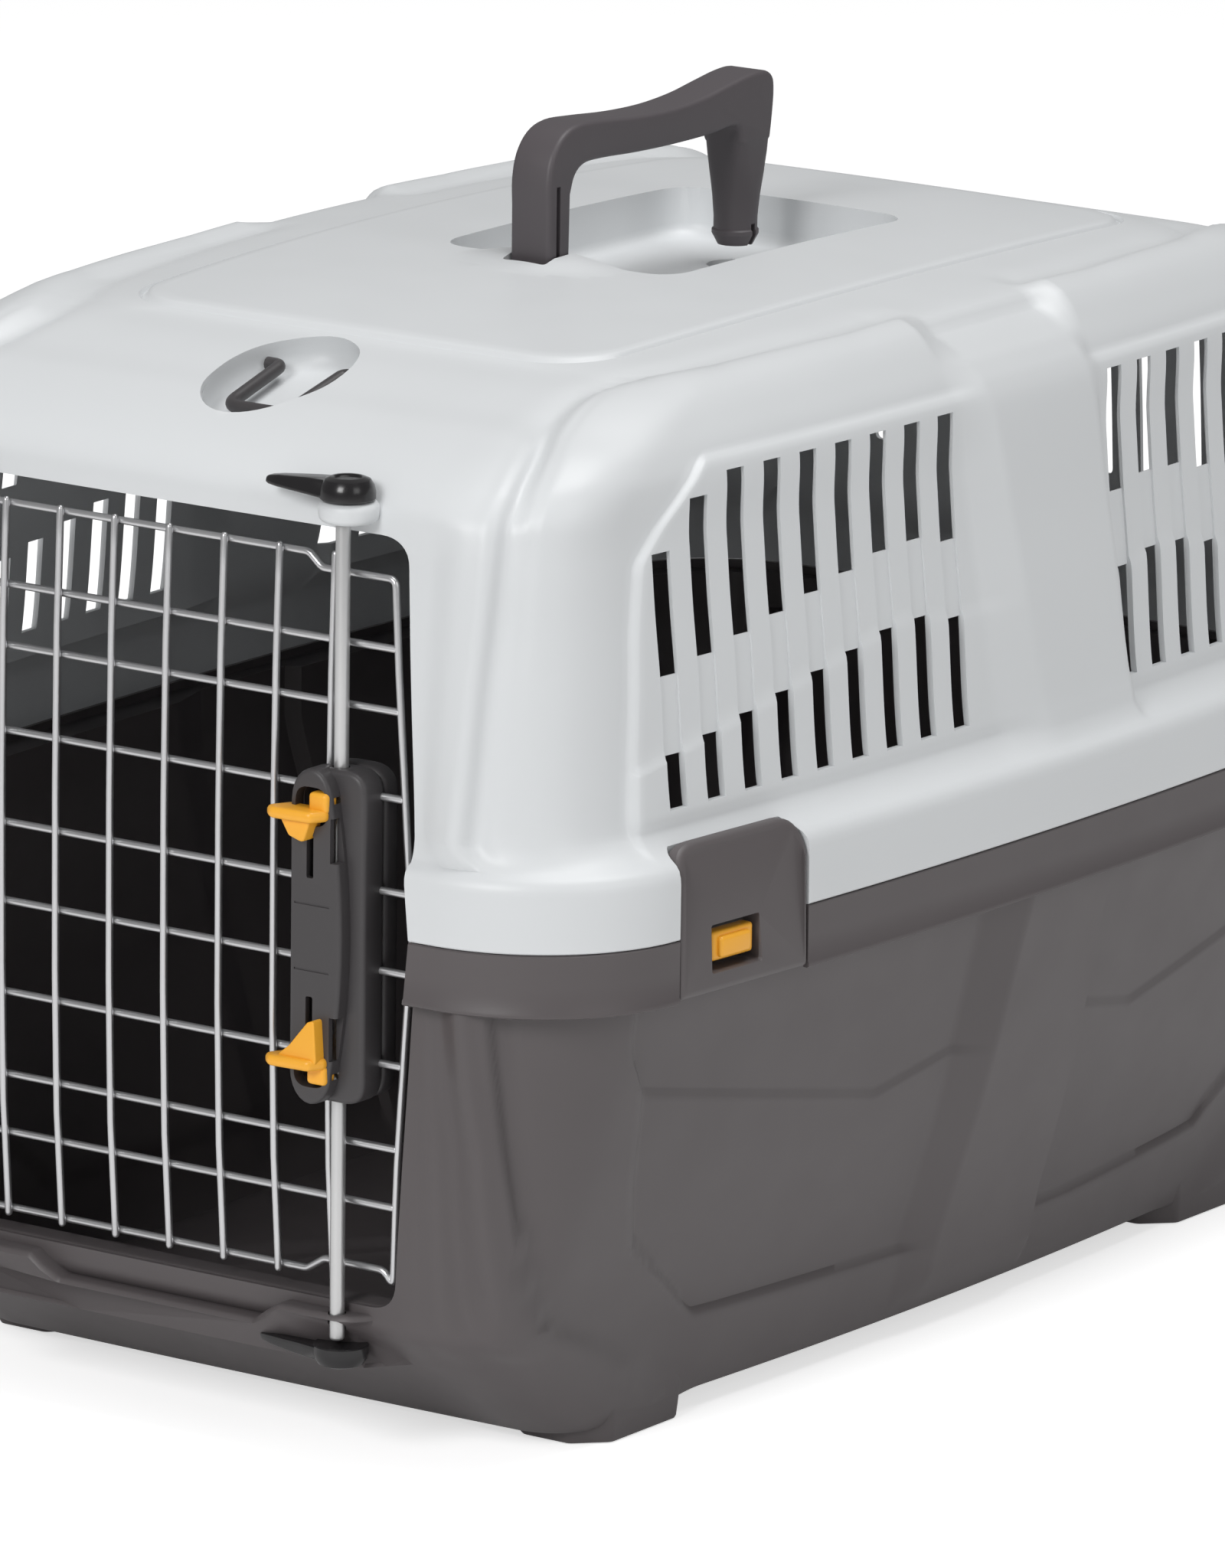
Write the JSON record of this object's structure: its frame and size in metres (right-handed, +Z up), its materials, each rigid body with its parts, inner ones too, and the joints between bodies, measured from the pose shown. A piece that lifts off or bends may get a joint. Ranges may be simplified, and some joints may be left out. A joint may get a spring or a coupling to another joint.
{
  "type": "pet transport carrier",
  "caption": "Moulded pet transport carrier: clipped shells with side vents, a latching wire door and a top carrying handle.",
  "frame": {"origin": "middle of the carrier on the ground under the feet; the rim is centred on it", "axes": "+Z up, -Y towards the door, +X towards the latch side"},
  "size_m": [0.4, 0.611, 0.447],
  "materials": {
    "light_plastic": "fine satin grain, pale grey",
    "dark_plastic": "fine satin grain, warm dark grey",
    "dark_fitting_plastic": "satin, near black",
    "black_plastic": "glossy black",
    "yellow_plastic": "satin yellow",
    "steel_wire": "plated wire, satin"
  },
  "bodies": {
    "carrier": {"lower_shell": "dark_plastic", "upper_shell": "light_plastic", "handle_pin": "steel_wire", "front_right_clip_pin": "steel_wire", "front_left_clip_pin": "steel_wire", "rear_right_clip_pin": "steel_wire", "rear_left_clip_pin": "steel_wire"},
    "door": {"door_grid": "steel_wire", "lower_hinge_pin": "steel_wire", "upper_hinge_pin": "steel_wire", "latch_cover": "dark_fitting_plastic", "latch_back_plate": "dark_fitting_plastic", "upper_latch_spring": "steel_wire", "lower_latch_spring": "steel_wire"},
    "upper_bolt": {"upper_lock_rod": "steel_wire", "upper_trigger": "yellow_plastic"},
    "lower_bolt": {"lower_lock_rod": "steel_wire", "lower_trigger": "yellow_plastic"},
    "top_lever": {"top_safety_lever": "black_plastic"},
    "bottom_lever": {"bottom_safety_lever": "black_plastic"},
    "handle_body": {"handle": "dark_fitting_plastic"},
    "front_loop": {"front_strap_loop": "dark_fitting_plastic"},
    "rear_loop": {"rear_strap_loop": "dark_fitting_plastic"},
    "front_right_clip_body": {"front_right_clip": "dark_plastic"},
    "front_right_catch_body": {"front_right_catch": "yellow_plastic"},
    "front_left_clip_body": {"front_left_clip": "dark_plastic"},
    "front_left_catch_body": {"front_left_catch": "yellow_plastic"},
    "rear_right_clip_body": {"rear_right_clip": "dark_plastic"},
    "rear_right_catch_body": {"rear_right_catch": "yellow_plastic"},
    "rear_left_clip_body": {"rear_left_clip": "dark_plastic"},
    "rear_left_catch_body": {"rear_left_catch": "yellow_plastic"}
  },
  "joints": [
    {"name": "door_hinge", "type": "hinge", "parent": "carrier", "child": "door", "pos_m": [-0.092, -0.2934, 0.196], "axis": [0, 0, -1], "range_deg": [0, 110]},
    {"name": "upper_trigger_slide", "type": "slide", "parent": "door", "child": "upper_bolt", "axis": [0, 0, -1], "range_m": [0, 0.012], "stiffness_N_per_m": 150, "springref_m": -0.004, "deforming": ["upper_latch_spring"]},
    {"name": "lower_trigger_slide", "type": "slide", "parent": "door", "child": "lower_bolt", "axis": [0, 0, 1], "range_m": [0, 0.012], "stiffness_N_per_m": 150, "springref_m": -0.004, "deforming": ["lower_latch_spring"]},
    {"name": "top_safety_lever_turn", "type": "hinge", "parent": "carrier", "child": "top_lever", "pos_m": [0.08, -0.291, 0.3523], "axis": [0, 0, 1], "range_deg": [0, 90]},
    {"name": "bottom_safety_lever_turn", "type": "hinge", "parent": "carrier", "child": "bottom_lever", "pos_m": [0.08, -0.291, 0.037], "axis": [0, 0, 1], "range_deg": [0, 90]},
    {"name": "front_right_clip_hinge", "type": "hinge", "parent": "carrier", "child": "front_right_clip_body", "pos_m": [0.18611, -0.20354, 0.1805], "axis": [0.0773, 0.997, 0], "range_deg": [0, 95]},
    {"name": "front_right_catch_press", "type": "slide", "parent": "front_right_clip_body", "child": "front_right_catch_body", "axis": [-0.997, 0.0773, 0], "range_m": [0, 0.0025]},
    {"name": "front_left_clip_hinge", "type": "hinge", "parent": "carrier", "child": "front_left_clip_body", "pos_m": [-0.18611, -0.20354, 0.1805], "axis": [0.0773, -0.997, 0], "range_deg": [0, 95]},
    {"name": "front_left_catch_press", "type": "slide", "parent": "front_left_clip_body", "child": "front_left_catch_body", "axis": [0.997, 0.0773, 0], "range_m": [0, 0.0025]},
    {"name": "rear_right_clip_hinge", "type": "hinge", "parent": "carrier", "child": "rear_right_clip_body", "pos_m": [0.18611, 0.20354, 0.1805], "axis": [-0.0773, 0.997, 0], "range_deg": [0, 95]},
    {"name": "rear_right_catch_press", "type": "slide", "parent": "rear_right_clip_body", "child": "rear_right_catch_body", "axis": [-0.997, -0.0773, 0], "range_m": [0, 0.0025]},
    {"name": "rear_left_clip_hinge", "type": "hinge", "parent": "carrier", "child": "rear_left_clip_body", "pos_m": [-0.18611, 0.20354, 0.1805], "axis": [-0.0773, -0.997, 0], "range_deg": [0, 95]},
    {"name": "rear_left_catch_press", "type": "slide", "parent": "rear_left_clip_body", "child": "rear_left_catch_body", "axis": [0.997, -0.0773, 0], "range_m": [0, 0.0025]},
    {"name": "handle_hinge", "type": "hinge", "parent": "carrier", "child": "handle_body", "pos_m": [0, -0.064, 0.383], "axis": [1, 0, 0], "range_deg": [-4, 17]},
    {"name": "front_loop_hinge", "type": "hinge", "parent": "carrier", "child": "front_loop", "pos_m": [0, -0.20239, 0.37535], "axis": [-1, 0, 0], "range_deg": [0, 75]},
    {"name": "rear_loop_hinge", "type": "hinge", "parent": "carrier", "child": "rear_loop", "pos_m": [0, 0.20239, 0.37535], "axis": [1, 0, 0], "range_deg": [0, 75]}
  ]
}
